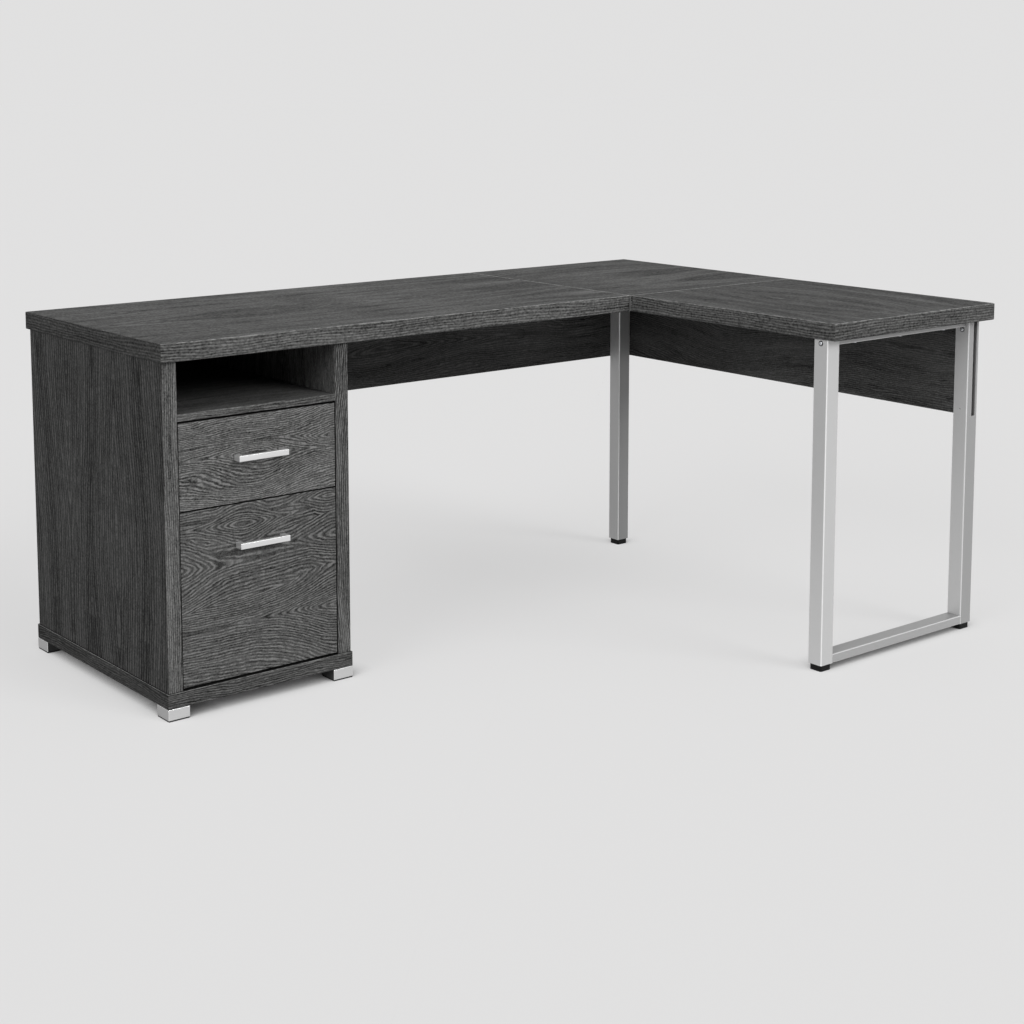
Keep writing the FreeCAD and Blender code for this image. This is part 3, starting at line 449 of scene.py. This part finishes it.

# A bolt near the top of each post: one holds the loop's top rail, the other clamps the panel in its slot.
# Both are domed steel bolts with a hexagon socket, on a thin black ring that stands in for the shadow gap
# round the head: painted shade.
shadow_ring_radius = 0.0058
shadow_ring_thickness = 0.0006
dome_radius = 0.0043
dome_height = 0.0019
dome_steps = (0.35, 0.62, 0.82, 0.95)
socket_radius = 0.0017
socket_depth = 0.0012
shank_radius = 0.003
for bolt in ("rail_bolt", "panel_clamp_bolt"):
    bolt_low, bolt_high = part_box(bolt)
    middle = (bolt_low + bolt_high) / 2
    post_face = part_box("inner_post" if bolt == "rail_bolt" else "outer_post")[0].x
    seat = Matrix.Translation((post_face, middle.y, middle.z)) @ Matrix.Rotation(math.radians(-90), 4, "Y")
    head = bmesh.new()
    # The black ring is painted shade for the gap round the head.
    shadow_ring_seat = Matrix.Translation((0, 0, shadow_ring_thickness / 2))
    shadow_ring = bmesh.ops.create_cone(head, cap_ends=True, segments=40, radius1=shadow_ring_radius,
                                   radius2=shadow_ring_radius, depth=shadow_ring_thickness, matrix=shadow_ring_seat)
    shadow_ring_faces = {face for corner in shadow_ring["verts"] for face in corner.link_faces}
    ring = bmesh.ops.create_circle(head, cap_ends=True, segments=36, radius=dome_radius,
                                   matrix=Matrix.Translation((0, 0, shadow_ring_thickness)))
    top_face = ring["verts"][0].link_faces[0]
    covered_faces = []
    for step in dome_steps:
        covered_faces.append(top_face)
        raised = bmesh.ops.extrude_face_region(head, geom=[top_face])
        rim = [part for part in raised["geom"] if isinstance(part, bmesh.types.BMVert)]
        top_face = next(part for part in raised["geom"] if isinstance(part, bmesh.types.BMFace))
        spread = math.sqrt(1 - step * step)
        for corner in rim:
            flat_place = Vector((corner.co.x, corner.co.y, 0)).normalized() * dome_radius * spread
            corner.co = (flat_place.x, flat_place.y, shadow_ring_thickness + dome_height * step)
    bmesh.ops.delete(head, geom=covered_faces[1:] + [top_face], context="FACES_ONLY")
    socket = bmesh.ops.create_circle(head, cap_ends=False, segments=6, radius=socket_radius,
                                     matrix=Matrix.Translation((0, 0, shadow_ring_thickness + dome_height)))
    socket_edges = list({edge for corner in socket["verts"] for edge in corner.link_edges})
    rim_edges = [edge for edge in head.edges if edge.is_boundary and edge not in socket_edges
                 and edge.verts[0].co.z > shadow_ring_thickness + dome_steps[-2] * dome_height]
    bmesh.ops.bridge_loops(head, edges=rim_edges + socket_edges)
    sunk = bmesh.ops.extrude_edge_only(head, edges=socket_edges)
    floor_ring = [part for part in sunk["geom"] if isinstance(part, bmesh.types.BMVert)]
    bmesh.ops.translate(head, verts=floor_ring, vec=(0, 0, -socket_depth))
    sunk_edges = [part for part in sunk["geom"] if isinstance(part, bmesh.types.BMEdge)]
    bmesh.ops.contextual_create(head, geom=[edge for edge in sunk_edges
                                            if all(corner in floor_ring for corner in edge.verts)])
    shank_length = bolt_high.x - post_face
    bmesh.ops.create_cone(head, cap_ends=True, segments=24, radius1=shank_radius, radius2=shank_radius,
                          depth=shank_length, matrix=Matrix.Translation((0, 0, -shank_length / 2)))
    for face in head.faces:
        face.material_index = 1 if face in shadow_ring_faces else 0
    bmesh.ops.recalc_face_normals(head, faces=head.faces)
    bmesh.ops.transform(head, matrix=seat, verts=head.verts)
    bolt_piece = new_piece(f"{bolt}_domed", head, [zinc, black_plastic])
    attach(bolt_piece, "desk")
    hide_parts(bolt)

# Four square feet lift the cabinet: a charcoal block in a folded cover of bright steel, on a thin pad.
# The cover goes round the two outer faces only, and screws hold the block to the base board.
dress("foot_blocks", moulded("charcoal_block", (0.05, 0.05, 0.05), 0.6))
# The covers carry painted shade on their side faces and a painted highlight on their edges.
foot_steel = metal("foot_steel", (0.7, 0.7, 0.7), 1.0, 0.3, painted_edge_highlight=1.4, painted_face_light={"x": 0.62})
dress("foot_covers", foot_steel, edge=0.0006)
dress("foot_pads", moulded("felt_pad", (0.02, 0.02, 0.02), 0.8))

# Each drawer front has a square bow handle in brushed nickel.
# Two machine screws hold it on from inside the drawer.
nickel = metal("brushed_nickel", (0.78, 0.78, 0.78), 0.8, 0.32, brushed="X")
for drawer in ("box", "file"):
    dress(f"{drawer}_drawer_handle", nickel, edge=0.0004)
    dress(f"{drawer}_handle_screws", zinc)

# The drawer boxes are plain dark board, glued and doweled at the corners behind the fronts.
# A thin bottom slides into a groove all round.
drawer_board = woodgrain("drawer_board", "Y", 71.0, grey=0.06, bold=0.5)
dowel_wood = woodgrain("dowel_wood", "X", 73.0, grey=0.5, bold=0.4)
for drawer in ("box", "file"):
    for board in ("left_side", "right_side", "back", "bottom"):
        dress(f"{drawer}_drawer_{board}", drawer_board, edge=0.0005)
    dress(f"{drawer}_drawer_dowels", dowel_wood)
dress("cabinet_dowels", dowel_wood)

# Telescopic slides of rolled zinc-plated steel, three members each, run on bearing blocks of white nylon.
# Screws hold the outer member to the cabinet's side and the inner one to the drawer.
# The file drawer also carries two painted steel rails for hanging folders.
nylon = moulded("white_nylon", (0.75, 0.75, 0.73), 0.45)
for drawer in ("box", "file"):
    for member in ("cabinet", "middle", "drawer"):
        dress(f"{drawer}_slide_{member}_members", zinc)
    dress(f"{drawer}_slide_bearings", nylon)
    dress(f"{drawer}_slide_screws", zinc)
dress("file_hanging_rails", metal("file_rail_paint", (0.42, 0.42, 0.43), 0.5, 0.4))

# The floor is a plain pale sheet that runs out to the horizon.
# It takes a faint broad shadow from the lamps, and a narrow dark painted shadow close under the feet and the
# base, where nearby occlusion darkens the glow that keeps it pale.
def seen_outright(tree):
    """1 where the camera sees the place, straight or in a shine, and 0 where it only gives light."""
    ray = add_node(tree, "LightPath", {}).outputs
    return maths(tree, "MAXIMUM", ray["Is Camera Ray"],
                 maths(tree, "MAXIMUM", ray["Is Glossy Ray"], ray["Is Transmission Ray"]))


backdrop = (0.752, 0.749, 0.749, 1.0)
shadow_reach = 0.08
shut_in = 0.18
open_sky = 0.88
glow_strength = 1.09
glow_share = 0.7
floor_finish = bpy.data.materials.new("floor_sheet")
floor_finish.use_nodes = True
tree = floor_finish.node_tree
sheet = add_node(tree, "BsdfDiffuse", {"Color": (0.6, 0.598, 0.598, 1.0)})
towards_light = add_node(tree, "CombineXYZ", {0: -0.5, 1: -0.35, 2: 0.8})
# Painted shadow: occlusion close by darkens the floor's glow.
nook = add_node(tree, "AmbientOcclusion", {"Distance": shadow_reach, "Normal": towards_light.outputs[0]},
                samples=8)
painted_shadow_openness = stepped(tree, nook.outputs["AO"], shut_in, open_sky)
glow = add_node(tree, "Emission", {"Color": backdrop,
                                   "Strength": maths(tree, "MULTIPLY", painted_shadow_openness, glow_strength)})
share = maths(tree, "MULTIPLY", seen_outright(tree), glow_share)
mixed = add_node(tree, "MixShader", {0: share, 1: sheet.outputs[0], 2: glow.outputs[0]})
tree.links.new(mixed.outputs[0], tree.nodes["Material Output"].inputs["Surface"])
floor_shape = bmesh.new()
bmesh.ops.create_grid(floor_shape, x_segments=1, y_segments=1, size=60)
floor = new_piece("floor", floor_shape, [floor_finish])

# Soft studio light: a dim room, one broad light overhead, one before the desk a little to the right,
# and a weaker one from the left.
room = bpy.data.worlds.new("studio")
room.use_nodes = True
tree = room.node_tree
tree.nodes.clear()
dim = add_node(tree, "Background", {"Color": (1.0, 1.0, 1.0, 1.0), "Strength": 0.2})
bright = add_node(tree, "Background", {"Color": backdrop, "Strength": 1.0})
mixed = add_node(tree, "MixShader", {0: seen_outright(tree), 1: dim.outputs[0], 2: bright.outputs[0]})
add_node(tree, "OutputWorld", {"Surface": mixed.outputs[0]})
bpy.context.scene.world = room
for light_name, strength, spread, elevation, azimuth in (("overhead_light", 0.7, 70, 80, 20),
                                                         ("front_light", 2.1, 30, 30, 18),
                                                         ("left_light", 1.7, 40, 26, -75)):
    light = bpy.data.lights.new(light_name, "SUN")
    light.energy = strength
    light.angle = math.radians(spread)
    lamp = bpy.data.objects.new(light_name, light)
    lamp.rotation_euler = (math.radians(90 - elevation), 0, math.radians(azimuth))
    bpy.context.scene.collection.objects.link(lamp)
bpy.context.scene.view_settings.view_transform = "Standard"
